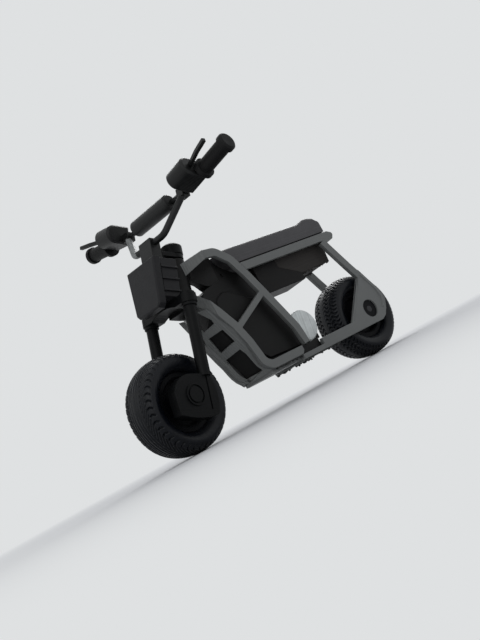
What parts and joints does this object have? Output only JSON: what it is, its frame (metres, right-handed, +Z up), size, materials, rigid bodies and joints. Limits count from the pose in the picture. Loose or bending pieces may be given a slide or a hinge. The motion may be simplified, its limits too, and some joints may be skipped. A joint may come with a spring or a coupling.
{
  "type": "scale model of an electric dirt bike",
  "caption": "Printed scale model of an electric dirt bike with open side plates, a fork that steers, a one-piece seat and fat tyres on wheels that roll.",
  "frame": {"origin": "on top of the seat, midway across, where a rider would sit", "axes": "+X forward, +Y to the bike's left, +Z up with the bike upright"},
  "size_m": [0.2439, 0.1657, 0.1747],
  "materials": {
    "frame_print": "satin printed plastic, dark grey",
    "seat_print": "printed plastic, dark grey with fine layer lines",
    "black_print": "satin printed plastic, near black",
    "grip_print": "matt printed plastic, black",
    "tyre_print": "satin flexible printed plastic, black",
    "rim_print": "printed plastic, near black",
    "motor_print": "printed plastic, pale grey",
    "axle_steel": "plain steel pin"
  },
  "bodies": {
    "frame": {"frame_left": "frame_print", "frame_right": "frame_print", "subframe_left": "frame_print", "subframe_right": "frame_print", "neck": "frame_print", "belly_pan": "frame_print", "skid_guard": "frame_print", "power_pack": "black_print", "seat_pan": "seat_print", "seat": "seat_print", "controller_box": "black_print", "seat_tray": "seat_print", "pivot_block": "black_print", "motor": "motor_print", "rear_axle": "axle_steel", "axle_cap_left": "black_print", "axle_cap_right": "black_print"},
    "steering": {"fork_leg_left": "black_print", "fork_leg_right": "black_print", "fork_lug_left": "black_print", "fork_lug_right": "black_print", "front_axle": "axle_steel", "fork_crown": "black_print", "steering_stem": "black_print", "top_clamp": "black_print", "stem_cap": "black_print", "head_box": "black_print", "handlebar": "black_print", "bar_clamp": "black_print", "crossbar": "black_print", "bar_pad": "black_print", "grip_left": "grip_print", "grip_right": "grip_print", "bar_end_left": "grip_print", "bar_end_right": "grip_print", "pod_left": "black_print", "pod_right": "black_print", "lever_left": "black_print", "lever_right": "black_print"},
    "front_wheel": {"front_tyre": "tyre_print", "front_rim": "rim_print"},
    "rear_wheel": {"rear_tyre": "tyre_print", "rear_rim": "rim_print"}
  },
  "joints": [
    {"name": "steer", "type": "hinge", "parent": "frame", "child": "steering", "pos_m": [0.09714, 0, -0.08798], "axis": [-0.3173, 0, 0.9483], "range_deg": [-40, 20]},
    {"name": "front_roll", "type": "hinge", "parent": "steering", "child": "front_wheel", "pos_m": [0.11768, 0.00382, -0.08111], "axis": [-0.1647, 0.9848, -0.0551], "continuous": true},
    {"name": "rear_roll", "type": "hinge", "parent": "frame", "child": "rear_wheel", "pos_m": [-0.062, 0, -0.081], "axis": [0, 1, 0], "continuous": true}
  ]
}
